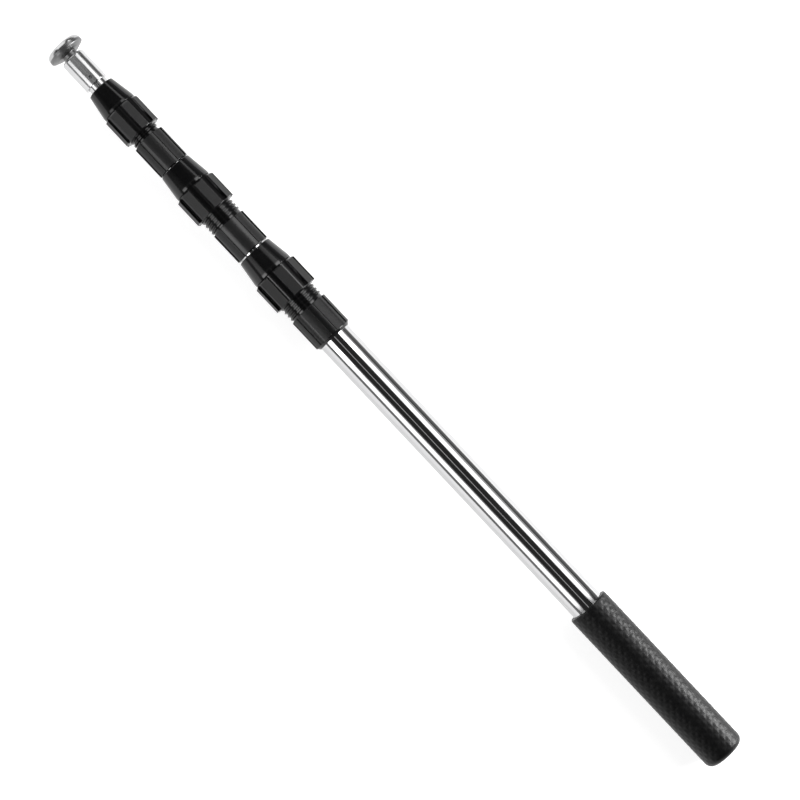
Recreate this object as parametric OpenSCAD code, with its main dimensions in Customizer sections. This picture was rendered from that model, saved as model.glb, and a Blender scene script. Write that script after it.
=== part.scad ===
// Telescoping magnetic pickup tool: four nested steel tubes, three twist locks and a pot magnet.
// It lies along X with the magnet towards +X, on one flat rib of its largest nut and on its grip.
// Z = 0 is the surface under that rib.

/* [Tubes] */
// Outer diameter of the handle's tube
outer_tube_d = 22; // [21.8:0.1:22.2]
// How much thinner each following tube is
tube_step = 3; // [2.9:0.05:3.1]
// Wall thickness of every tube
tube_wall = 0.8; // [0.7:0.05:0.85]
// Length of the handle's tube that shows between the grip and the first lock
tube_shown = 224.6; // [200:0.1:240]
// Distance between the inner ends of two nested tubes
tail_step = 12; // [10:1:16]
// Length of the guide sleeve on the inner end of a tube
guide_len = 25; // [20:1:30]
// Radial clearance of a sliding fit
sliding_gap = 0.05; // [0.03:0.01:0.08]

/* [Grip] */
// Length of the rubber grip
grip_len = 123.5; // [110:0.5:135]
// Outer diameter of the rubber grip
grip_d = 27.4; // [26:0.1:29]
// Radius of the grip's rounded butt edge
butt_round = 4.3; // [3:0.1:6]
// Thickness of rubber across the butt
butt_wall = 3; // [2:0.5:4]

/* [Locks, first to third] */
// Length of each lock body's ribbed part
body_len = [23.7, 22.5, 23.3]; // [20:0.1:26]
// Length of bare thread between each lock body's ribs and its nut
thread_shown = [10.3, 10.7, 4.9]; // [4:0.1:12]
// Length of each nut's ribbed part
ribbed_len = [20.7, 20.0, 20.4]; // [18:0.1:22]
// Length of each nut's tapered nose
nose_len = [16.7, 16.4, 16.9]; // [15:0.1:18]
// Gap in front of each nut, up to the next section's first piece
front_gap = [0.9, 0.4, 3.5]; // [0.4:0.1:4]
// Height of each lock body's ribs above its tube
body_over_tube = [2.25, 2.3, 2.7]; // [2.2:0.05:3]
// Height of each thread's crest above its tube
crest_over_tube = [1.6, 2.1, 1.6]; // [1.5:0.05:2.1]
// Height of each nut's ribs above the tube of its lock body
ribs_over_tube = [4.45, 4.85, 4.8]; // [4.4:0.05:5]
// Radius of each nose at its wide end, above the tube of its lock body
nose_back_over_tube = [2.9, 3.15, 3.65]; // [2.9:0.05:3.7]
// Radius of each nose at its narrow end, above the tube of its lock body
nose_front_over_tube = [0.75, 1.3, 1.0]; // [0.75:0.05:1.3]
// Angle by which each nut's ribs are turned about the pole
nut_turn = [0, 5, 8]; // [0:1:44]
// Angle by which each lock body's ribs are turned about the pole
body_turn = [19.5, -11.5, -15.5]; // [-21.5:1:21.5]
// Pitch of the lock threads
thread_pitch = 2.7; // [2.4:0.1:3]
// Depth of the lock threads
thread_depth = 0.9; // [0.6:0.1:1]

/* [Ribs] */
// Number of ribs round a nut or a lock body
rib_count = 8; // [6:1:10]
// Angle that one nut rib covers
nut_rib_angle = 25; // [19:2:27]
// Angle that one rib of each lock body covers
body_rib_angle = [24, 28, 30]; // [22:2:32]
// Depth of the grooves between lock body ribs
body_groove = 0.6; // [0.4:0.1:0.8]

/* [Head] */
// Length of the steel sleeve behind the magnet
ferrule_len = 21.9; // [20:0.1:24]
// Outer diameter of the steel sleeve
ferrule_d = 16; // [15.5:0.1:16.5]
// Outer diameter of the cross pin
pin_d = 1.9; // [1.6:0.1:2.2]
// Distance from the sleeve's back edge to the cross pin
pin_setback = 4.5; // [4:0.1:6]
// Angle by which the cross pin is turned about the pole
pin_turn = -12; // [-22:1:22]
// Diameter of the magnet's steel cup
cup_d = 24; // [22:0.1:25]
// Diameter of the boss between the sleeve and the cup
boss_d = 9.8; // [9:0.1:10.5]
// Length of that boss
boss_len = 3; // [2.5:0.1:5]
// Length of the cup, boss not counted
cup_len = 6.7; // [6:0.1:7.5]
// Diameter of the magnet
magnet_d = 16.2; // [15:0.1:17]
// Thickness of the magnet
magnet_len = 3.8; // [3:0.1:4]

/* [Hidden] */
$fn = 96;

// Colours
rubber = [0.05, 0.05, 0.055];
plastic = [0.09, 0.09, 0.095];
steel = [0.78, 0.78, 0.8];
nylon = [0.85, 0.84, 0.8];
brass = [0.75, 0.6, 0.3];
dull_steel = [0.5, 0.5, 0.52];

// Small shared sizes
edge = 0.4;               // broken edge of plastic and rubber pieces
tube_edge = 0.15;         // broken edge of a tube's end
back_slope = [1.5, 0.4, 0.4]; // sloped back end of each lock body
seat_setback = 1.5;       // a lock body's seat for its tube ends this far behind the thread
thread_inside = 13;       // length of thread inside the nut
nut_travel = 1.35;        // how far a nut moves while it locks, half a turn
cone_end = 2;             // length of the plain bore at a nut's front
nose_land = 1.8;          // plain cylinder between a nose and the ribs
nose_gap = 0.6;           // groove between a nose and the ribs
ring_gap = 0.12;          // gap between a wedge ring and its nut
slot_w = 1.4;             // slots of a wedge ring
slot_count = 6;           // slots round a wedge ring, one of them right through
lip = 1;                  // thickness of a guide's end lip
plug_len = 10;            // length of the butt plug inside the tube
plug_flange = 1.5;        // thickness of the butt plug's flange
stud_d = 6;               // thread of the magnet's stud
rib_edge = 0.05;          // how far a nut rib's flat face stands above the chord of its corners
face_round = 2.6;         // how far the cup's rounding reaches in from its side
face_round_len = 3.3;     // how far that rounding reaches back from the cup's face
reach = 20;               // longer than any nut is wide

// Tubes: outer and inner radius, counted from the handle's tube as 0
function tube_r(i) = outer_tube_d / 2 - i * tube_step / 2;
function bore_r(i) = tube_r(i) - tube_wall;

// Places along the pole, measured from the butt; lock i sits on tube i
function lock_len(i) = body_len[i] + thread_shown[i] + ribbed_len[i] + nose_len[i] + front_gap[i];
function body_back(i) = i == 0 ? grip_len + tube_shown : body_back(i - 1) + lock_len(i - 1);
function thread_back(i) = body_back(i) + body_len[i];
function nut_back(i) = thread_back(i) + thread_shown[i];
function nose_back(i) = nut_back(i) + ribbed_len[i];
function nut_front(i) = nose_back(i) + nose_len[i];
function seat_end(i) = thread_back(i) - seat_setback;
function body_front(i) = nut_back(i) + thread_inside;

// Distance from the axis to the flat faces of nut i's ribs
function rib_face(i) = (tube_r(i) + ribs_over_tube[i]) * cos(nut_rib_angle / 2) + rib_edge;

tube_start = butt_wall + plug_flange;
function tail(i) = i == 0 ? tube_start : tube_start + plug_len + 4 + (i - 1) * tail_step;

ferrule_back = nut_front(2) + front_gap[2];
ferrule_front = ferrule_back + ferrule_len;
cup_back = ferrule_front + boss_len;
overall_len = cup_back + cup_len;
tip_end = ferrule_front - 4.3;
axis_h = rib_face(0);

// A piece drawn round Z, with its heights measured from the butt, laid along the pole
module along_pole() {
    translate([-overall_len / 2, 0, axis_h]) rotate([0, 90, 0]) children();
}

// Solid of revolution from [radius, distance from the butt] points
module turned(points) {
    rotate_extrude() polygon(points);
}

// Wedges of the given angle, spread evenly round the pole, each with a flat face at the given distance
module wedges(angle, turn, low, high, face) {
    for (k = [0 : rib_count - 1])
        rotate([0, 0, turn + k * 360 / rib_count])
            translate([0, 0, low])
                linear_extrude(high - low)
                    polygon([[0, 0], face * [1, -tan(angle / 2)], face * [1, tan(angle / 2)]]);
}

// Plain tube with slightly broken ends
module tube_piece(i, front) {
    r = tube_r(i);
    b = bore_r(i);
    color(steel) along_pole()
        turned([[b, tail(i)], [r - tube_edge, tail(i)], [r, tail(i) + tube_edge],
                [r, front - tube_edge], [r - tube_edge, front], [b, front]]);
}

// Nylon sleeve on a tube's inner end, which runs in the next larger tube
module guide_piece(i) {
    outer = bore_r(i - 1) - sliding_gap;
    inner = tube_r(i) + sliding_gap / 2;
    back = tail(i) - lip - 0.3;
    front = tail(i) + guide_len;
    color(nylon) along_pole()
        turned([[bore_r(i), back], [outer - edge, back], [outer, back + edge],
                [outer, front - tube_edge], [outer - tube_edge, front],
                [inner, front], [inner, back + lip], [bore_r(i), back + lip]]);
}

// Saw-like rings that stand for the thread between two places
function thread_outline(root, crest, low, high) = [
    for (k = [0 : floor((high - low) / thread_pitch) - 1])
        let (z = low + k * thread_pitch)
            each [[root, z + 0.2 * thread_pitch], [crest, z + 0.45 * thread_pitch],
                  [crest, z + 0.7 * thread_pitch], [root, z + 0.95 * thread_pitch]]
];

// Threaded body fixed on the end of tube i; tube i + 1 runs through it
module lock_body(i) {
    r = tube_r(i) + body_over_tube[i];
    floor_r = r - body_groove;
    crest = tube_r(i) + crest_over_tube[i];
    root = crest - thread_depth;
    run = tube_r(i + 1) + 2 * sliding_gap;
    back = body_back(i);
    top = thread_back(i);
    mouth = body_front(i);
    slope = back_slope[i];
    color(plastic) along_pole() {
        union() {
            turned(concat(
                [[tube_r(i), back], [floor_r - slope / 2, back], [floor_r, back + slope],
                 [floor_r, top - edge], [floor_r - edge, top], [root, top]],
                thread_outline(root, crest, top, mouth - 1),
                [[root, mouth - 1], [root - 0.6, mouth], [run, mouth],
                 [run, seat_end(i)], [tube_r(i), seat_end(i)]]));
            intersection() {
                turned([[floor_r - 0.5, back + slope], [r - slope / 2 - 0.3, back + 0.2],
                        [r, back + slope + 0.2],
                        [r, top - edge], [r - edge, top], [floor_r - 0.5, top]]);
                wedges(body_rib_angle[i], body_turn[i], back, top + 1, reach);
            }
        }
    }
}

// Split ring that the nut presses onto tube i + 1
module wedge_ring(i) {
    run = tube_r(i + 1) + 2 * sliding_gap;
    wide = tube_r(i) + crest_over_tube[i] - ring_gap;
    narrow = tube_r(i + 1) + 0.8;
    back = body_front(i) + nut_travel + 0.2;
    cone_back = nose_back(i) - 0.5;
    front = nut_front(i) - cone_end - 1.2;
    color(nylon) along_pole()
        difference() {
            turned([[run, back], [wide - edge, back], [wide, back + edge], [wide, cone_back],
                    [narrow, front], [run, front]]);
            translate([0, -slot_w / 2, back - 1]) cube([reach, slot_w, front - back + 2]);
            for (k = [1 : slot_count - 1])
                rotate([0, 0, k * 360 / slot_count])
                    translate([0, -slot_w / 2, back + 5]) cube([reach, slot_w, front - back]);
        }
}

// Nut with flat-faced ribs and a tapered nose
module lock_nut(i) {
    bore = tube_r(i) + crest_over_tube[i] + 0.08;
    exit = tube_r(i + 1) + 0.15;
    wide = tube_r(i) + nose_back_over_tube[i];
    narrow = tube_r(i) + nose_front_over_tube[i];
    ribs = tube_r(i) + ribs_over_tube[i];
    back = nut_back(i);
    ribs_end = nose_back(i) - nose_gap;
    front = nut_front(i);
    color(plastic) along_pole()
        union() {
            turned([[bore, back], [wide - edge, back], [wide, back + edge],
                    [wide, ribs_end], [wide - 0.4, ribs_end + nose_gap / 2], [wide, nose_back(i)],
                    [wide, nose_back(i) + nose_land],
                    [narrow, front - edge], [narrow - edge, front],
                    [exit, front], [exit, front - cone_end], [tube_r(i + 1) + 0.95, front - cone_end],
                    [bore, nose_back(i) - 0.5]]);
            intersection() {
                turned([[wide - 0.3, back + 0.1], [ribs - 0.5, back + 0.1], [ribs, back + 0.6],
                        [ribs, ribs_end - 1.1], [ribs - 1.1, ribs_end], [wide - 0.3, ribs_end]]);
                wedges(nut_rib_angle, nut_turn[i], back, ribs_end + 1, rib_face(i));
            }
        }
}

// Round-cornered outline between two angles, as [radius, distance] points, stretched along the pole
function corner(r, z, round, from, to, steps = 8, stretch = 1) = [
    for (k = [0 : steps])
        let (a = from + (to - from) * k / steps)
            [r + round * cos(a), z + stretch * round * sin(a)]
];

module grip() {
    r = grip_d / 2;
    color(rubber) along_pole()
        turned(concat(
            [[0, 0]],
            corner(r - butt_round, butt_round, butt_round, -90, 0),
            [[r, grip_len - edge], [r - edge, grip_len], [tube_r(0), grip_len],
             [tube_r(0), butt_wall], [0, butt_wall]]));
}

module butt_plug() {
    stem = bore_r(0);
    end = tube_start + plug_len;
    color(plastic) along_pole()
        turned([[0, butt_wall], [tube_r(0), butt_wall], [tube_r(0), tube_start], [stem, tube_start],
                [stem, end - edge], [stem - edge, end], [stem - 2, end], [stem - 2, tube_start + 1],
                [0, tube_start + 1]]);
}

module outer_tube() tube_piece(0, seat_end(0));
module second_tube() tube_piece(1, seat_end(1));
module third_tube() tube_piece(2, seat_end(2));

module tip_tube() {
    difference() {
        tube_piece(3, tip_end);
        cross_hole();
    }
}

// Puts a piece drawn along Z from 0 where it crosses the pole at the pin's place
module across_pole(half) {
    along_pole()
        rotate([0, 0, pin_turn])
            translate([-half, 0, ferrule_back + pin_setback])
                rotate([0, 90, 0]) children();
}

// Hole for the cross pin
module cross_hole() {
    across_pole(reach) cylinder(d = pin_d, h = 2 * reach);
}

module head_ferrule() {
    r = ferrule_d / 2;
    color(steel) difference() {
        along_pole()
            turned(concat(
                [[tube_r(3), ferrule_back], [r - edge, ferrule_back], [r, ferrule_back + edge]],
                corner(r - 1.2, ferrule_front - 1.2, 1.2, 0, 90, 5),
                [[boss_d / 2, ferrule_front], [boss_d / 2, tip_end], [tube_r(3), tip_end]]));
        cross_hole();
    }
}

module ferrule_pin() {
    half = ferrule_d / 2 - 0.35;
    color(dull_steel) across_pole(half)
        difference() {
            cylinder(d = pin_d, h = 2 * half);
            translate([0, 0, -1]) cylinder(d = pin_d * 0.45, h = 2 * half + 2);
        }
}

// Threaded insert inside the tip tube, stepped down where it fills the ferrule's front
module head_insert() {
    color(brass) difference() {
        along_pole()
            turned([[stud_d / 2, ferrule_back + 1], [bore_r(3), ferrule_back + 1], [bore_r(3), tip_end],
                    [boss_d / 2, tip_end], [boss_d / 2, ferrule_front], [stud_d / 2, ferrule_front]]);
        cross_hole();
    }
}

module magnet_stud() {
    color(dull_steel) along_pole()
        translate([0, 0, ferrule_back + pin_setback + 2])
            cylinder(d = stud_d, h = cup_back + 1 - (ferrule_back + pin_setback + 2));
}

module magnet_cup() {
    r = cup_d / 2;
    back = cup_back;
    face = overall_len;
    pocket = face - magnet_len;
    color(steel) along_pole()
        turned(concat(
            [[0, back + 1], [stud_d / 2, back + 1], [stud_d / 2, ferrule_front],
             [boss_d / 2 - 0.3, ferrule_front], [boss_d / 2, ferrule_front + 0.3],
             [boss_d / 2, back - 0.4], [8, back - 0.2], [r - 0.6, back + 1.2]],
            corner(r - 1, back + 2.2, 1, -30, 0, 3),
            corner(r - face_round, face - face_round_len, face_round, 0, 90, 8, face_round_len / face_round),
            [[magnet_d / 2 + 0.9, face],
             [magnet_d / 2 + 0.9, pocket], [0, pocket]]));
}

module magnet_spacer() {
    low = overall_len - magnet_len;
    color(brass) along_pole()
        turned([[magnet_d / 2, low], [magnet_d / 2 + 0.9, low],
                [magnet_d / 2 + 0.9, overall_len - 0.2], [magnet_d / 2, overall_len - 0.2]]);
}

module magnet() {
    color(dull_steel) along_pole()
        translate([0, 0, overall_len - magnet_len]) cylinder(d = magnet_d, h = magnet_len);
}

grip();
butt_plug();
outer_tube();
lock_body(0);  // first_lock_body
wedge_ring(0);  // first_wedge_ring
lock_nut(0);  // first_lock_nut
second_tube();
guide_piece(1);  // second_tube_guide
lock_body(1);  // second_lock_body
wedge_ring(1);  // second_wedge_ring
lock_nut(1);  // second_lock_nut
third_tube();
guide_piece(2);  // third_tube_guide
lock_body(2);  // third_lock_body
wedge_ring(2);  // third_wedge_ring
lock_nut(2);  // third_lock_nut
tip_tube();
guide_piece(3);  // tip_tube_guide
head_ferrule();
ferrule_pin();
head_insert();
magnet_stud();
magnet_cup();
magnet_spacer();
magnet();
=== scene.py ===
"""Telescoping magnetic pickup tool, lying closed on a pale studio floor.

Every turned piece is drawn round Z with its heights measured from the butt end,
and is then laid along the pole, which runs along X with the magnet towards +X.
"""

import math

import bmesh
import bpy
from mathutils import Matrix, Vector


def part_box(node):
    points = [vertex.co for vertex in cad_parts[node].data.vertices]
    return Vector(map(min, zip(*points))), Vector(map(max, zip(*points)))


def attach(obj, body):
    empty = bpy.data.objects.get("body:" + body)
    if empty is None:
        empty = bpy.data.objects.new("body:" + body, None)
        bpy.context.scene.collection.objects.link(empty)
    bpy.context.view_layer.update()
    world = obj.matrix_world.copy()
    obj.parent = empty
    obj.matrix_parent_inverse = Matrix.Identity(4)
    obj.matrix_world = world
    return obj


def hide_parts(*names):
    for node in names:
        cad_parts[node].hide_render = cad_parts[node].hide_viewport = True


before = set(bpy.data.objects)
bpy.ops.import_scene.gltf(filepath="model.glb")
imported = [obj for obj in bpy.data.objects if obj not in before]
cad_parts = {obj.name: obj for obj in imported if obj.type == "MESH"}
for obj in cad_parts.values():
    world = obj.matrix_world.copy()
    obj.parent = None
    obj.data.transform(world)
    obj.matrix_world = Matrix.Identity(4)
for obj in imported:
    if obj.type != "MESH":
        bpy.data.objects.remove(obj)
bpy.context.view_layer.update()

MM = 0.001
TURN = 2 * math.pi

# Camera
VIEW_TILT = math.radians(12)    # the tool is seen from this far over towards +Y
CAMERA_HEIGHT = 1.40            # above the pole's axis
CAMERA_LENS = 103.5
CAMERA_TURN = math.radians(-133.22)
CAMERA_SIDE = (-0.0025, -0.0027)

scene = bpy.context.scene
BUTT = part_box("grip")[0].x
AXIS_HEIGHT = (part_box("outer_tube")[0].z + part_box("outer_tube")[1].z) / 2
POLE = Matrix.Translation((BUTT, 0, AXIS_HEIGHT)) @ Matrix.Rotation(math.pi / 2, 4, "Y")
TILTED = Matrix.Translation((0, 0, AXIS_HEIGHT)) @ Matrix.Rotation(-VIEW_TILT, 4, "X")


def place_camera():
    """Above the tool, turned so that the magnet points to the upper left."""
    data = bpy.data.cameras.new("camera")
    data.lens = CAMERA_LENS
    camera = bpy.data.objects.new("camera", data)
    camera.matrix_world = (TILTED @ Matrix.Translation((*CAMERA_SIDE, CAMERA_HEIGHT))
                           @ Matrix.Rotation(CAMERA_TURN, 4, "Z"))
    scene.collection.objects.link(camera)
    scene.camera = camera


place_camera()

# ---------------------------------------------------------------- shader helpers


class Value:
    """A shader value; arithmetic on it adds Math nodes."""

    def __init__(self, finish, socket):
        self.finish = finish
        self.socket = socket

    def math(self, operation, a, b):
        node = self.finish.add("ShaderNodeMath", {"operation": operation}, {0: a, 1: b})
        return Value(self.finish, node.outputs[0])

    def __add__(self, other):
        return self.math("ADD", self, other)

    def __radd__(self, other):
        return self.math("ADD", other, self)

    def __rsub__(self, other):
        return self.math("SUBTRACT", other, self)

    def __mul__(self, other):
        return self.math("MULTIPLY", self, other)

    def __rmul__(self, other):
        return self.math("MULTIPLY", other, self)


class Finish:
    """A material on the Principled shader, with its constants on the shader's own sockets."""

    def __init__(self, name, constants):
        self.material = bpy.data.materials.new(name)
        self.material.use_nodes = True
        self.tree = self.material.node_tree
        self.shader = self.tree.nodes["Principled BSDF"]
        for socket, value in constants.items():
            self.shader.inputs[socket].default_value = value

    def add(self, kind, settings, inputs):
        node = self.tree.nodes.new(kind)
        for name, value in settings.items():
            setattr(node, name, value)
        for name, value in inputs.items():
            self.feed(node.inputs[name], value)
        return node

    def feed(self, socket, value):
        if isinstance(value, Value):
            self.tree.links.new(value.socket, socket)
        elif isinstance(value, bpy.types.NodeSocket):
            self.tree.links.new(value, socket)
        else:
            socket.default_value = value

    def places(self, stretch):
        """Object coordinates, stretched along each axis."""
        source = self.add("ShaderNodeTexCoord", {}, {})
        mapping = self.add("ShaderNodeMapping", {}, {"Vector": source.outputs["Object"], "Scale": stretch})
        return mapping.outputs[0]

    def noise(self, stretch, scale, detail=3.0, roughness=0.5):
        """Noise from 0 to 1 at this many features a metre, before the stretch."""
        node = self.add("ShaderNodeTexNoise", {}, {"Vector": self.places(stretch), "Scale": scale,
                                                   "Detail": detail, "Roughness": roughness})
        return Value(self, node.outputs[0])

    def marked(self, name):
        """A number that is stored on the piece's faces, or 0 where it has none."""
        node = self.add("ShaderNodeAttribute", {"attribute_name": name}, {})
        return Value(self, node.outputs["Fac"])

    def between(self, value, low, high):
        """0 below low, 1 above high and smooth between them."""
        node = self.add("ShaderNodeMapRange", {"interpolation_type": "SMOOTHSTEP"},
                        {"Value": value, "From Min": low, "From Max": high})
        return Value(self, node.outputs[0])

    def colour(self, share, first, second):
        """A colour that goes from first to second as share goes from 0 to 1."""
        node = self.add("ShaderNodeMix", {"data_type": "RGBA"}, {0: share, 6: (*first, 1), 7: (*second, 1)})
        return node.outputs[2]

    def dimmed(self, colour, share):
        """The colour times a number."""
        node = self.add("ShaderNodeVectorMath", {"operation": "SCALE"}, {0: colour, "Scale": share})
        return node.outputs[0]

    def bump(self, height, strength, distance):
        """Relief of this height in metres."""
        node = self.add("ShaderNodeBump", {}, {"Height": height, "Strength": strength, "Distance": distance})
        return node.outputs[0]

    def show(self, inputs):
        for name, value in inputs.items():
            self.feed(self.shader.inputs[name], value)
        return self.material


EVEN = (1, 1, 1)
ALONG_POLE = (0.03, 1, 1)   # stretches a pattern along the pole
ROUND_POLE = (1, 0.04, 0.04)  # stretches a pattern across the pole


def polished_steel():
    """Bright plated tube with the faintest drawing marks along it."""
    f = Finish("polished_steel", {"Metallic": 1.0})
    drawn = f.noise(ALONG_POLE, 900, 4)
    smudge = f.noise(EVEN, 28, 3)
    return f.show({
        "Base Color": f.colour(smudge, (0.56, 0.56, 0.565), (0.60, 0.60, 0.605)),
        "Roughness": 0.035 + 0.03 * drawn + 0.05 * f.between(smudge, 0.45, 0.8),
        "Normal": f.bump(drawn, 0.05, 0.00005),
    })


def satin_steel():
    """Plated steel of the head, satin, with fine turning marks round it.

    It is duller where marked, and its colour is darkened there with painted shade.
    """
    f = Finish("satin_steel", {"Metallic": 1.0})
    turning = f.noise(ROUND_POLE, 2600, 3)
    smudge = f.noise(EVEN, 90, 3)
    painted_shade_and_dull = f.marked("painted_shade_and_dull")
    plated = f.colour(smudge, (0.58, 0.58, 0.585), (0.66, 0.66, 0.665))
    return f.show({
        # painted shade: the marked faces' colour is darkened by up to 70 percent
        "Base Color": f.dimmed(plated, 1 - 0.70 * painted_shade_and_dull),
        "Roughness": 0.15 + 0.05 * turning + 0.05 * f.between(smudge, 0.5, 0.8) + 0.18 * painted_shade_and_dull,
        "Normal": f.bump(turning, 0.05, 0.00005),
    })


def moulded_plastic():
    """Black moulded plastic: glossy, but grained on the flats of its ribs."""
    f = Finish("moulded_plastic", {"IOR": 1.42})
    grained = f.marked("grained")
    grain = f.noise(EVEN, 2600, 3, 0.6)
    flow = f.noise(EVEN, 140, 4)
    return f.show({
        "Base Color": f.colour(flow, (0.003, 0.003, 0.0032), (0.0055, 0.0055, 0.0058)),
        "Roughness": 0.11 + 0.06 * flow + grained * (0.30 + 0.10 * grain),
        "Normal": f.bump(grain * (0.12 + 0.88 * grained), 0.3, 0.00008),
    })


def grip_rubber():
    """Matt black rubber with a fine skin and a little dust."""
    f = Finish("grip_rubber", {"IOR": 1.30})
    grain = f.noise(EVEN, 3200, 3, 0.65)
    dust = f.between(f.noise(EVEN, 210, 5, 0.6), 0.45, 0.8)
    return f.show({
        "Base Color": f.colour(dust, (0.004, 0.004, 0.0042), (0.008, 0.008, 0.0082)),
        "Roughness": 0.36 + 0.06 * dust + 0.08 * grain,
        "Normal": f.bump(grain, 0.25, 0.0001),
    })


def natural_nylon():
    """Off-white nylon of the inner rings and guides."""
    f = Finish("natural_nylon", {"IOR": 1.53})
    cloud = f.noise(EVEN, 160, 4)
    return f.show({
        "Base Color": f.colour(cloud, (0.70, 0.68, 0.62), (0.80, 0.79, 0.74)),
        "Roughness": 0.38 + 0.15 * cloud,
        "Normal": f.bump(f.noise(ROUND_POLE, 1500, 2), 0.1, 0.00006),
    })


def turned_brass():
    """Brass with turning marks."""
    f = Finish("turned_brass", {"Metallic": 1.0})
    turning = f.noise(ROUND_POLE, 2200, 3)
    tarnish = f.noise(EVEN, 130, 4)
    return f.show({
        "Base Color": f.colour(tarnish, (0.55, 0.40, 0.18), (0.78, 0.60, 0.30)),
        "Roughness": 0.20 + 0.18 * tarnish,
        "Normal": f.bump(turning, 0.15, 0.00006),
    })


def dull_steel():
    """Plain steel of the pin and the stud, darker and rougher than the plating."""
    f = Finish("dull_steel", {"Metallic": 1.0})
    wear = f.noise(EVEN, 420, 4)
    return f.show({
        "Base Color": f.colour(wear, (0.10, 0.10, 0.11), (0.22, 0.22, 0.23)),
        "Roughness": 0.32 + 0.2 * wear,
        "Normal": f.bump(wear, 0.1, 0.00008),
    })


def magnet_plating():
    """Nickel on the magnet, with ground marks and small scuffs."""
    f = Finish("magnet_plating", {"Metallic": 1.0})
    ground = f.noise((1, 1, 0.05), 1800, 3)
    scuff = f.between(f.noise(EVEN, 500, 5, 0.7), 0.55, 0.7)
    return f.show({
        "Base Color": f.colour(scuff, (0.62, 0.61, 0.58), (0.42, 0.41, 0.39)),
        "Roughness": 0.16 + 0.12 * ground + 0.18 * scuff,
        "Normal": f.bump(ground, 0.12, 0.00006),
    })


STEEL = polished_steel()
SATIN = satin_steel()
PLASTIC = moulded_plastic()
RUBBER = grip_rubber()
NYLON = natural_nylon()
BRASS = turned_brass()
DULL = dull_steel()
PLATING = magnet_plating()

# ---------------------------------------------------------------- modelling helpers


def lengthwise(node):
    """Start, end and largest radius of a node, with distances measured from the butt."""
    low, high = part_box(node)
    return low.x - BUTT, high.x - BUTT, (high.y - low.y) / 2


def outline(corners, closed=False, steps=5):
    """Points (radius, height) through corners (radius, height, rounding).

    A rounded corner becomes an arc, with a point just outside each end of it that keeps
    the straight stretches flat.
    """
    points = []
    count = len(corners)
    for k, corner in enumerate(corners):
        here = Vector(corner[:2])
        rounding = corner[2] if len(corner) > 2 else 0
        if not rounding or (not closed and k in (0, count - 1)):
            points.append(here)
            continue
        before = Vector(corners[k - 1][:2]) - here
        after = Vector(corners[(k + 1) % count][:2]) - here
        half = before.angle(after) / 2
        reach = rounding / math.tan(half)
        to_before = before.normalized()
        to_after = after.normalized()
        centre = here + (to_before + to_after).normalized() * (rounding / math.sin(half))
        start = here + to_before * reach - centre
        end = here + to_after * reach - centre
        sweep = start.angle_signed(end)
        points.append(here + to_before * reach * 1.25)
        for s in range(steps + 1):
            arm = start.copy()
            arm.rotate(Matrix.Rotation(-sweep * s / steps, 2))
            points.append(centre + arm)
        points.append(here + to_after * reach * 1.25)
    return points


def lathe(bm, points, steps, start=0.0, closed=False):
    """Turns the outline round Z, from the given angle."""
    verts = [bm.verts.new((r * math.cos(start), r * math.sin(start), z)) for r, z in points]
    pairs = list(zip(verts, verts[1:]))
    if closed:
        pairs.append((verts[-1], verts[0]))
    edges = [bm.edges.new(pair) for pair in pairs]
    bmesh.ops.spin(bm, geom=verts + edges, cent=(0, 0, 0), axis=(0, 0, 1), dvec=(0, 0, 0),
                   angle=TURN, steps=steps, use_merge=True, use_duplicate=False)
    bmesh.ops.remove_doubles(bm, verts=bm.verts[:], dist=1e-7)
    bmesh.ops.recalc_face_normals(bm, faces=bm.faces[:])


def shade(bm, sharp_above=36):
    """Smooth shading, broken only at sharp edges."""
    for face in bm.faces:
        face.smooth = True
    for edge in bm.edges:
        if len(edge.link_faces) == 2 and edge.calc_face_angle(0) > math.radians(sharp_above):
            edge.smooth = False


def finished(bm, name, finish, body, nodes, weigh=True, place=POLE):
    """Makes the piece from its bmesh, lays it on the pole and joins it to its body."""
    shade(bm)
    bm.transform(place)
    mesh = bpy.data.meshes.new(name)
    bm.to_mesh(mesh)
    bm.free()
    mesh.materials.append(finish)
    piece = bpy.data.objects.new(name, mesh)
    scene.collection.objects.link(piece)
    if weigh:
        even = piece.modifiers.new("even_normals", "WEIGHTED_NORMAL")
        even.keep_sharp = True
    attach(piece, body)
    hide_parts(*nodes)
    return piece


# ---------------------------------------------------------------- grip

GRIP_STEPS = 34            # half lozenges round the grip
GRIP_CELL = 2.83 * MM      # half a lozenge's length
GRIP_CUTS = 6              # mesh steps in each half lozenge
GRIP_RELIEF = 0.16 * MM
GRIP_FADE = 3.0 * MM
GRIP_EDGE = 0.6 * MM
BUTT_ROUND = 4.3 * MM
BUTT_WALL = 3.0 * MM
BUTT_STEPS = 10


def lozenge_relief(along, around):
    """Height from 0 to 1 of a staggered net of raised lozenges; both places count half lozenges."""
    nearest = 2.0
    for i in range(math.floor(along) - 1, math.floor(along) + 3):
        for j in range(math.floor(around) - 1, math.floor(around) + 3):
            if (i + j) % 2 == 0:
                nearest = min(nearest, abs(along - i) + abs(around - j))
    return math.cos(math.pi / 2 * min(nearest, 1.0)) ** 2


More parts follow.
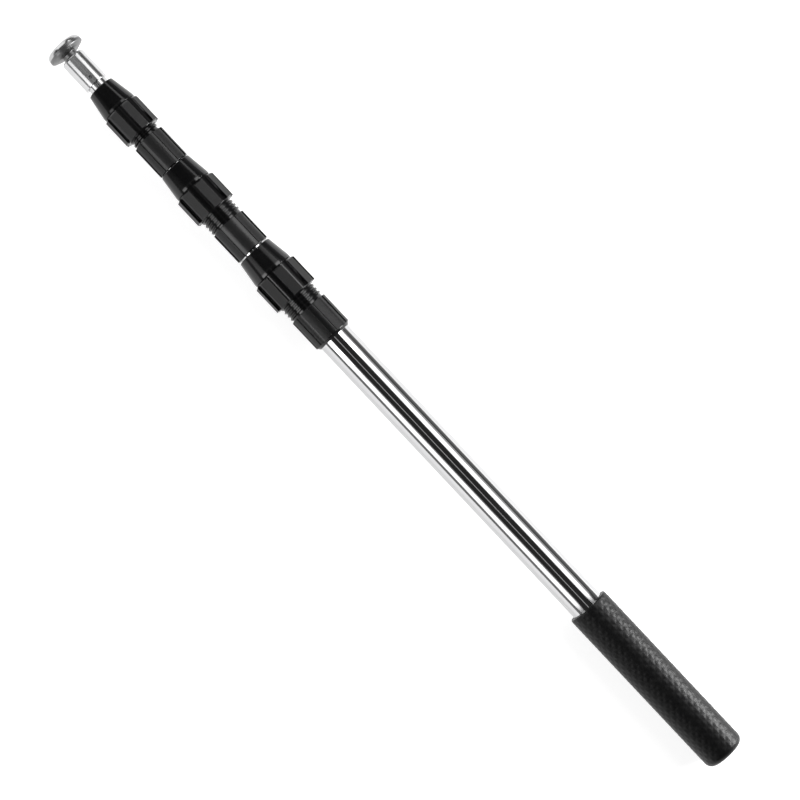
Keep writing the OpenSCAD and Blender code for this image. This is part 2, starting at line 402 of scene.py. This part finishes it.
def make_grip():
    """Rubber sleeve closed across the butt, with raised lozenges all over its side."""
    start, end, radius = lengthwise("grip")
    bore = lengthwise("outer_tube")[2]
    side = radius - GRIP_RELIEF
    first_height = BUTT_ROUND * 0.4
    rings = round((end - BUTT_ROUND) / (GRIP_CELL / GRIP_CUTS))
    step = (end - BUTT_ROUND - GRIP_EDGE) / rings
    points = [(0, 0), (side - BUTT_ROUND, 0)]
    for k in range(1, BUTT_STEPS + 1):
        a = math.pi / 2 * k / BUTT_STEPS
        points.append((side - BUTT_ROUND + BUTT_ROUND * math.sin(a), BUTT_ROUND - BUTT_ROUND * math.cos(a)))
    points += [(side, BUTT_ROUND + k * step) for k in range(1, rings + 1)]
    points += [(side - 0.35 * MM, end), (bore, end), (bore, BUTT_WALL), (0, BUTT_WALL)]
    bm = bmesh.new()
    lathe(bm, points, GRIP_STEPS * GRIP_CUTS)
    for v in bm.verts:
        r = math.hypot(v.co.x, v.co.y)
        if r < side - 0.1 * MM or v.co.z < first_height:
            continue
        fade = min(1, (v.co.z - first_height) / GRIP_FADE, max(0, end - GRIP_EDGE - v.co.z) / GRIP_FADE + 0.5)
        around = (math.atan2(v.co.y, v.co.x) / TURN % 1) * GRIP_STEPS
        lift = GRIP_RELIEF * fade * lozenge_relief(v.co.z / GRIP_CELL, around)
        v.co.x *= (r + lift) / r
        v.co.y *= (r + lift) / r
    return finished(bm, "rubber_grip", RUBBER, "handle", ["grip"], weigh=False)


# ---------------------------------------------------------------- tubes

TUBE_STEPS = 160
TUBE_WALL = 0.8 * MM
TUBE_ROUND = 0.2 * MM


def make_tube(node, name, body):
    """Thin-walled tube with rounded end edges."""
    start, end, radius = lengthwise(node)
    bore = radius - TUBE_WALL
    bm = bmesh.new()
    lathe(bm, outline([(bore, start, TUBE_ROUND), (radius, start, TUBE_ROUND),
                       (radius, end, TUBE_ROUND), (bore, end, TUBE_ROUND)], closed=True),
          TUBE_STEPS, closed=True)
    return finished(bm, name, STEEL, body, [node])


# ---------------------------------------------------------------- twist locks

LOCK_STEPS = 360           # one step a degree round a lock piece
RIB_COUNT = 8
NUT_RIB = math.radians(25)
NUT_EDGE = 0.6 * MM        # rounding of a nut rib's edges
NUT_SLOPE = 1.0 * MM       # slope of a nut rib's front end
BODY_EDGE = 0.4 * MM
BODY_GROOVE = 0.6 * MM
GROOVE_GRAIN = 0.4         # grain of the grooves between a lock body's ribs, 1 on the flats
THREAD_PITCH = 2.7 * MM
THREAD_DEPTH = 0.9 * MM
THREAD_RAMP = 0.8 * MM     # sloped mouth of a thread
SEAT_SETBACK = 1.5 * MM
NOSE_LAND = 1.8 * MM
NOSE_GAP = 0.6 * MM
NOSE_BORE = 2.0 * MM       # length of the close bore in a nut's front
RUNNING = 0.1 * MM         # clearance of a lock body round the tube that slides in it


class Lock:
    """Sizes of one twist lock, in metres; the lengths are measured from the butt.

    crest, shoulder and tip are heights above the tube that the lock sits on.
    """

    def __init__(self, order, body, tube, next_tube, ribbed, back_slope, crest, shoulder, tip,
                 nut_turn, body_turn, body_rib):
        self.order = order
        self.body = body
        self.tube = lengthwise(tube)[2]
        self.next_tube = lengthwise(next_tube)[2]
        self.back, self.mouth, self.body_radius = lengthwise(f"{order}_lock_body")
        self.nut_back, self.front, _ = lengthwise(f"{order}_lock_nut")
        self.nose_back = self.nut_back + ribbed
        self.seat_end = lengthwise(tube)[1]
        self.thread_back = self.seat_end + SEAT_SETBACK
        self.back_slope = back_slope
        self.crest = self.tube + crest
        self.shoulder = self.tube + shoulder
        self.tip = self.tube + tip
        self.nut_turn = math.radians(nut_turn)
        self.body_turn = math.radians(body_turn)
        self.body_rib = math.radians(body_rib)


LOCKS = [
    Lock("first", "handle", "outer_tube", "second_tube", 20.7 * MM, 1.5 * MM,
         1.6 * MM, 2.9 * MM, 0.75 * MM, 0, 19.5, 24),
    Lock("second", "second_section", "second_tube", "third_tube", 20.0 * MM, 0.4 * MM,
         2.1 * MM, 3.15 * MM, 1.3 * MM, 5, -11.5, 28),
    Lock("third", "third_section", "third_tube", "tip_tube", 20.4 * MM, 0.4 * MM,
         1.6 * MM, 3.65 * MM, 1.0 * MM, 8, -15.5, 30),
]
RIB_HEIGHT = {"first": 4.45 * MM, "second": 4.85 * MM, "third": 4.8 * MM}   # above the lock's tube
FLAT_STAND = 0.05 * MM     # how far a nut rib's flat stands above the chord of its corners


def off_middle(point, turn):
    """Angle of a point from the middle of its nearest rib."""
    period = TURN / RIB_COUNT
    return (math.atan2(point.y, point.x) - turn + period / 2) % period - period / 2


def ribs_between(bm, low, high, inner, turn, width):
    """Outer faces of the wall between two heights that lie within one of the ribs."""
    found = []
    for face in bm.faces:
        c = face.calc_center_median()
        if low < c.z < high and math.hypot(c.x, c.y) > inner and abs(off_middle(c, turn)) < width / 2:
            found.append(face)
    return found


def raise_ribs(bm, grained, faces, turn, radius_at, front_slope, rounding):
    """Pulls the faces outwards as ribs, slopes their front ends back and rounds their edges.

    radius_at gives the rib's radius at an angle from its middle. Only the flats get the grain.
    """
    grown = bmesh.ops.extrude_face_region(bm, geom=faces)
    tops = [v for v in grown["geom"] if isinstance(v, bmesh.types.BMVert)]
    flats = {f for f in grown["geom"] if isinstance(f, bmesh.types.BMFace)}
    front = max(v.co.z for v in tops)
    for v in tops:
        grow = radius_at(off_middle(v.co, turn)) / math.hypot(v.co.x, v.co.y)
        v.co.x *= grow
        v.co.y *= grow
        if v.co.z > front - 1e-6:
            v.co.z -= front_slope
    for face in flats:
        face[grained] = 1.0
    rim = {e for f in flats for e in f.edges if sum(g in flats for g in e.link_faces) == 1}
    rounded = bmesh.ops.bevel(bm, geom=list(rim), offset=rounding, offset_type="OFFSET", affect="EDGES",
                              segments=3, profile=0.5, material=-1, clamp_overlap=True)
    for face in rounded["faces"]:
        face[grained] = 0.0


def helix(bm, root, crest, low, high, pitch, per_turn=60):
    """Right-hand thread ridge: its trapezium is spun upwards in even steps."""
    turns = (high - low) / pitch
    steps = round(turns * per_turn)
    section = [(root, -0.42), (crest, -0.14), (crest, 0.14), (root, 0.42)]
    verts = [bm.verts.new((r, 0, low + z * pitch)) for r, z in section]
    edges = [bm.edges.new((verts[k], verts[(k + 1) % 4])) for k in range(4)]
    bm.faces.new(verts)
    spun = bmesh.ops.spin(bm, geom=edges + verts, cent=(0, 0, 0), axis=(0, 0, 1),
                          dvec=(0, 0, pitch / per_turn), angle=steps * TURN / per_turn,
                          steps=steps, use_merge=False, use_duplicate=False)
    last = [e for e in spun["geom_last"] if isinstance(e, bmesh.types.BMEdge)]
    bmesh.ops.edgeloop_fill(bm, edges=last)


def make_lock_body(lock):
    """Ribbed collar on a tube's end, with the thread that its nut runs on."""
    floor = lock.body_radius - BODY_GROOVE
    root = lock.crest - THREAD_DEPTH
    run = lock.next_tube + RUNNING
    slope = lock.back_slope
    corners = [
        (lock.tube, lock.back), (floor - slope * 0.85, lock.back, slope * 0.15),
        (floor, lock.back + slope, slope * 0.4), (floor, lock.thread_back, 0.25 * MM),
        (root, lock.thread_back, 0.2 * MM), (root, lock.mouth - THREAD_RAMP),
        (root - 0.6 * MM, lock.mouth), (run, lock.mouth), (run, lock.seat_end), (lock.tube, lock.seat_end),
    ]
    bm = bmesh.new()
    grained = bm.faces.layers.float.new("grained")
    lathe(bm, outline(corners, closed=True, steps=4), LOCK_STEPS,
          lock.body_turn - lock.body_rib / 2, closed=True)
    wall_back = lock.back + slope * 1.2
    inner = floor - 0.05 * MM
    for face in ribs_between(bm, wall_back, lock.thread_back, inner, 0, TURN):
        face[grained] = GROOVE_GRAIN
    faces = ribs_between(bm, wall_back, lock.thread_back - 0.2 * MM, inner, lock.body_turn, lock.body_rib)
    raise_ribs(bm, grained, faces, lock.body_turn, lambda angle: lock.body_radius, 0.15 * MM, BODY_EDGE)
    helix(bm, root - 0.1 * MM, lock.crest, lock.thread_back + 1.2 * MM, lock.mouth - 2 * THREAD_RAMP,
          THREAD_PITCH)
    return finished(bm, f"{lock.order}_collar", PLASTIC, lock.body, [f"{lock.order}_lock_body"])


def make_lock_nut(lock):
    """Twist nut with eight broad flat ribs and a smooth tapered nose."""
    bore = lock.crest + 0.08 * MM
    run = lock.next_tube + 0.15 * MM
    ribs_end = lock.nose_back - NOSE_GAP
    corners = [
        (bore, lock.nut_back, 0.2 * MM), (lock.shoulder, lock.nut_back, 0.35 * MM),
        (lock.shoulder, ribs_end), (lock.shoulder - 0.35 * MM, ribs_end + NOSE_GAP / 2),
        (lock.shoulder, lock.nose_back, 0.25 * MM), (lock.shoulder, lock.nose_back + NOSE_LAND, 6 * MM),
        (lock.tip, lock.front, 0.5 * MM),
        (run, lock.front, 0.15 * MM), (run, lock.front - NOSE_BORE),
        (lock.next_tube + 0.95 * MM, lock.front - NOSE_BORE), (bore, lock.nose_back - 0.5 * MM),
    ]
    corner_radius = lock.tube + RIB_HEIGHT[lock.order]
    flat = corner_radius * math.cos(NUT_RIB / 2) + FLAT_STAND
    bm = bmesh.new()
    grained = bm.faces.layers.float.new("grained")
    lathe(bm, outline(corners, closed=True, steps=4), LOCK_STEPS, lock.nut_turn - NUT_RIB / 2, closed=True)
    faces = ribs_between(bm, lock.nut_back + 0.3 * MM, ribs_end + 0.02 * MM, lock.shoulder - 0.05 * MM,
                         lock.nut_turn, NUT_RIB)
    raise_ribs(bm, grained, faces, lock.nut_turn, lambda angle: min(flat / math.cos(angle), corner_radius),
               NUT_SLOPE, NUT_EDGE)
    return finished(bm, f"{lock.order}_nut", PLASTIC, f"{lock.order}_nut", [f"{lock.order}_lock_nut"])


# ---------------------------------------------------------------- head

HEAD_STEPS = 128
BOSS_RADIUS = 4.9 * MM
BOSS_LENGTH = 3.0 * MM
PIN_RADIUS = 0.95 * MM
PIN_HOLLOW = 0.7 * MM
PIN_HOLLOW_DEPTH = 1.6 * MM
PIN_SINK = 0.35 * MM       # depth of the pin's ends below the sleeve
PIN_FLARE = 0.5 * MM       # how much the drilled hole widens in its last stretch
PIN_TURN = VIEW_TILT       # the pin leans this far over towards +Y
POT_ROUND = 2.6 * MM       # how far the pot's rounded front reaches in from its side
POT_ROUND_LENGTH = 3.3 * MM
POT_ROUND_STEPS = 12
FRONT_PAINTED_SHADE_AND_DULL = 0.3     # how dull the pot's front is and how much painted shade darkens it, 1 behind it


def pin_place():
    """Middle of the cross pin, and the turn that lays a piece drawn round Z along it."""
    low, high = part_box("ferrule_pin")
    return Matrix.Translation((low + high) / 2) @ Matrix.Rotation(-PIN_TURN, 4, "X")


def cut_away(piece, cutter):
    """Cuts the cutter's shape out of the piece's mesh."""
    cut = piece.modifiers.new("cut", "BOOLEAN")
    cut.solver = "EXACT"
    cut.object = cutter
    bpy.context.view_layer.update()
    whole = piece.data
    piece.data = bpy.data.meshes.new_from_object(piece.evaluated_get(bpy.context.evaluated_depsgraph_get()))
    piece.modifiers.remove(cut)
    bpy.data.meshes.remove(whole)
    bpy.data.objects.remove(cutter)


def make_ferrule():
    """Plated sleeve over the tip tube's end, drilled and countersunk for the cross pin."""
    start, end, radius = lengthwise("head_ferrule")
    _, shoulder, inner = lengthwise("tip_tube")
    bm = bmesh.new()
    lathe(bm, outline([(inner, start), (radius, start, 0.35 * MM), (radius, end, 1.2 * MM),
                       (BOSS_RADIUS, end, 0.2 * MM), (BOSS_RADIUS, shoulder), (inner, shoulder)],
                      closed=True), HEAD_STEPS, closed=True)
    piece = finished(bm, "head_sleeve", SATIN, "tip_section", ["head_ferrule"], weigh=False)
    drill = bmesh.new()
    sunk = radius - PIN_SINK
    past = radius + MM
    lathe(drill, [(0, -past), (PIN_RADIUS + PIN_FLARE, -past), (PIN_RADIUS, -sunk),
                  (PIN_RADIUS, sunk), (PIN_RADIUS + PIN_FLARE, past), (0, past)], 48)
    drill.transform(pin_place())
    mesh = bpy.data.meshes.new("drill")
    drill.to_mesh(mesh)
    drill.free()
    cutter = bpy.data.objects.new("drill", mesh)
    scene.collection.objects.link(cutter)
    cut_away(piece, cutter)
    return piece


def make_pin():
    """Cross pin with a drilled hollow in each end."""
    half = lengthwise("head_ferrule")[2] - PIN_SINK
    bm = bmesh.new()
    bottom = half - PIN_HOLLOW_DEPTH
    lathe(bm, outline([(0, -bottom), (PIN_HOLLOW, -bottom), (PIN_HOLLOW, -half, 0.08 * MM),
                       (PIN_RADIUS, -half, 0.1 * MM), (PIN_RADIUS, half, 0.1 * MM),
                       (PIN_HOLLOW, half, 0.08 * MM), (PIN_HOLLOW, bottom), (0, bottom)]), 40)
    return finished(bm, "cross_pin", DULL, "tip_section", ["ferrule_pin"], place=pin_place())


def make_pot():
    """Steel pot of the magnet with a full round front, and the boss that screws on the stud."""
    start, end, radius = lengthwise("magnet_cup")
    back = start + BOSS_LENGTH
    _, stud_end, stud = lengthwise("magnet_stud")
    ring = lengthwise("magnet_spacer")[2]
    pocket = lengthwise("magnet")[0]
    points = outline([
        (0, stud_end), (stud, stud_end), (stud, start), (BOSS_RADIUS, start, 0.3 * MM),
        (BOSS_RADIUS, back - 0.2 * MM, 0.4 * MM), (8.0 * MM, back - 0.1 * MM, 1.0 * MM),
        (radius, back + 1.5 * MM, 0.9 * MM), (radius, end - POT_ROUND_LENGTH)])
    for k in range(1, POT_ROUND_STEPS + 1):
        a = math.pi / 2 * k / POT_ROUND_STEPS
        points.append((radius - POT_ROUND * (1 - math.cos(a)), end - POT_ROUND_LENGTH * (1 - math.sin(a))))
    points += [(ring, end), (ring, pocket), (0, pocket)]
    bm = bmesh.new()
    painted_shade_and_dull = bm.faces.layers.float.new("painted_shade_and_dull")
    lathe(bm, points, HEAD_STEPS)
    # the back of the pot gets full painted shade and dullness, the rounded front less
    for face in bm.faces:
        behind = face.calc_center_median().z < end - POT_ROUND_LENGTH
        face[painted_shade_and_dull] = 1.0 if behind else FRONT_PAINTED_SHADE_AND_DULL
    return finished(bm, "magnet_pot", SATIN, "tip_section", ["magnet_cup"])


def make_spacer():
    """Brass ring that keeps the magnet centred in its pot."""
    start, end, radius = lengthwise("magnet_spacer")
    inner = lengthwise("magnet")[2]
    bm = bmesh.new()
    lathe(bm, outline([(inner, start), (radius, start), (radius, end, 0.1 * MM), (inner, end, 0.1 * MM)],
                      closed=True), HEAD_STEPS, closed=True)
    return finished(bm, "centring_ring", BRASS, "tip_section", ["magnet_spacer"])


def make_magnet():
    """Round magnet with a rounded face edge."""
    start, end, radius = lengthwise("magnet")
    bm = bmesh.new()
    lathe(bm, outline([(0, start), (radius, start, 0.2 * MM), (radius, end, 0.35 * MM), (0, end)]),
          HEAD_STEPS)
    return finished(bm, "round_magnet", PLATING, "tip_section", ["magnet"])


# ---------------------------------------------------------------- pieces kept from the frame

def paint(finish, *nodes):
    """Gives pieces that keep their own shape a finish."""
    for name in nodes:
        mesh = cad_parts[name].data
        mesh.materials.clear()
        mesh.materials.append(finish)


make_grip()
make_tube("outer_tube", "handle_tube", "handle")
make_tube("second_tube", "second_section_tube", "second_section")
make_tube("third_tube", "third_section_tube", "third_section")
make_tube("tip_tube", "tip_section_tube", "tip_section")
for lock in LOCKS:
    make_lock_body(lock)
    make_lock_nut(lock)
make_ferrule()
make_pin()
make_pot()
make_spacer()
make_magnet()
paint(NYLON, "first_wedge_ring", "second_wedge_ring", "third_wedge_ring",
      "second_tube_guide", "third_tube_guide", "tip_tube_guide")
paint(PLASTIC, "butt_plug")
paint(BRASS, "head_insert")
paint(DULL, "magnet_stud")

# ---------------------------------------------------------------- studio

SOFTBOX_REACH = 1.1        # distance of the softboxes from the pole
FRONT_REACH = 1.5          # distance of the front light from the pole's middle
FLOOR_HALF = 6             # half the floor's side, in metres
FLOOR_GLOW = 0.82
HORIZON_GLOW = 0.30
ZENITH_GLOW = 0.03
MINUS_Y, PLUS_Y = -1, 1    # the two sides of the pole


def softbox(name, side, x_low, x_high, near, far, radiance, reach=SOFTBOX_REACH):
    """Long light beside the pole that fills the angles near to far, in degrees from the view's direction."""
    lean = math.radians((near + far) / 2)
    data = bpy.data.lights.new(name, "AREA")
    data.shape = "RECTANGLE"
    data.size = x_high - x_low
    data.size_y = 2 * reach * math.tan(math.radians(far - near) / 2)
    data.energy = radiance * math.pi * data.size * data.size_y
    lamp = bpy.data.objects.new(name, data)
    place = Matrix.Translation(((x_low + x_high) / 2, side * reach * math.sin(lean), reach * math.cos(lean)))
    lamp.matrix_world = TILTED @ place @ Matrix.Rotation(-side * lean, 4, "X")
    scene.collection.objects.link(lamp)


def front_light(name, lean, width, radiance):
    """Square light beyond the magnet, this many degrees from straight up, for the head's round front."""
    data = bpy.data.lights.new(name, "AREA")
    data.size = width
    data.energy = radiance * math.pi * width ** 2
    lamp = bpy.data.objects.new(name, data)
    lamp.matrix_world = (TILTED @ Matrix.Rotation(math.radians(lean), 4, "Y")
                         @ Matrix.Translation((0, 0, FRONT_REACH)))
    scene.collection.objects.link(lamp)


def make_floor():
    """Pale floor, far wider than the view, lit a little from within so that shadows stay light."""
    bm = bmesh.new()
    bmesh.ops.create_grid(bm, x_segments=1, y_segments=1, size=FLOOR_HALF)
    mesh = bpy.data.meshes.new("floor")
    bm.to_mesh(mesh)
    bm.free()
    floor = Finish("floor_paint", {"Roughness": 0.9, "Specular IOR Level": 0.1,
                                   "Emission Strength": FLOOR_GLOW, "Emission Color": (1, 1, 1, 1)})
    mottle = floor.noise(EVEN, 3, 2)
    grey = floor.colour(mottle, (0.50, 0.50, 0.50), (0.52, 0.52, 0.52))
    mesh.materials.append(floor.show({"Base Color": grey}))
    ground = bpy.data.objects.new("floor", mesh)
    scene.collection.objects.link(ground)


def make_sky():
    """Dim room: darkest straight up, lighter towards the horizon."""
    world = bpy.data.worlds.new("studio")
    world.use_nodes = True
    scene.world = world
    tree = world.node_tree
    coordinates = tree.nodes.new("ShaderNodeTexCoord")
    height = tree.nodes.new("ShaderNodeSeparateXYZ")
    ramp = tree.nodes.new("ShaderNodeMapRange")
    ramp.inputs["From Min"].default_value = 0.0
    ramp.inputs["From Max"].default_value = 0.5
    ramp.inputs["To Min"].default_value = HORIZON_GLOW
    ramp.inputs["To Max"].default_value = ZENITH_GLOW
    tree.links.new(coordinates.outputs["Generated"], height.inputs[0])
    tree.links.new(height.outputs["Z"], ramp.inputs["Value"])
    tree.links.new(ramp.outputs[0], tree.nodes["Background"].inputs["Strength"])
    tree.nodes["Background"].inputs["Color"].default_value = (1, 1, 1, 1)


make_floor()
make_sky()
softbox("tube_key", MINUS_Y, -0.30, 0.06, 34, 60, 1.7)
softbox("first_lock_key", MINUS_Y, 0.06, 0.25, 34, 60, 5.0)
softbox("second_lock_key", MINUS_Y, 0.25, 0.35, 34, 60, 3.8)
softbox("third_lock_key", MINUS_Y, 0.35, 0.44, 34, 60, 2.2)
softbox("head_key", MINUS_Y, 0.44, 0.54, 34, 60, 1.3)
softbox("nose_key", MINUS_Y, 0.56, 1.05, 52, 64, 2.2)
softbox("wide_key", MINUS_Y, -0.30, 0.50, 31, 72, 0.5)
softbox("tube_fill", PLUS_Y, -0.30, 0.06, 34, 60, 1.6)
softbox("first_lock_fill", PLUS_Y, 0.06, 0.25, 33, 60, 5.0)
softbox("second_lock_fill", PLUS_Y, 0.25, 0.35, 33, 60, 3.8)
softbox("third_lock_fill", PLUS_Y, 0.35, 0.44, 33, 60, 2.2)
softbox("head_fill", PLUS_Y, 0.44, 0.54, 33, 60, 1.3)
softbox("wide_fill", PLUS_Y, -0.30, 0.50, 28, 64, 0.35)
softbox("grip_side_light", MINUS_Y, -1.0, -0.36, 64, 92, 26.0, 1.0)
softbox("overhead_strip", PLUS_Y, -1.2, 0.73, -2.0, 2.0, 0.50, 2.4)
softbox("head_strip", PLUS_Y, 0.74, 0.90, -26, 26, 0.50, 2.4)
front_light("front_light", 66, 1.2, 1.5)
scene.view_settings.view_transform = "Standard"
